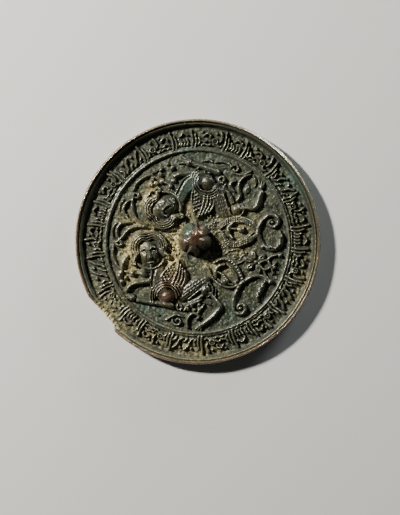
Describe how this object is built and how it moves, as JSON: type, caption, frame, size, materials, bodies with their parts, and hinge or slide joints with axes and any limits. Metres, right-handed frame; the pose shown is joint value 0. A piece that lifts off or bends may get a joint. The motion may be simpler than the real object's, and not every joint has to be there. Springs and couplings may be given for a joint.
{
  "type": "ancient bronze mirror",
  "caption": "Round cast-bronze mirror, decorated back up: raised rim, band of strokes, two addorsed sphinxes in scrolls and a pierced lobed knob.",
  "frame": {"origin": "centre of the flat reflecting face, which the mirror lies on", "axes": "+Z out of the decorated back, +Y towards the heads of the sphinxes, +X to the right seen from above"},
  "size_m": [0.108, 0.108, 0.0104],
  "materials": {
    "patinated_bronze": "dark grey-green patina with ochre deposits in the hollows and coppery wear on the high places"
  },
  "bodies": {
    "root": {"bronze_mirror": "patinated_bronze"}
  },
  "joints": []
}
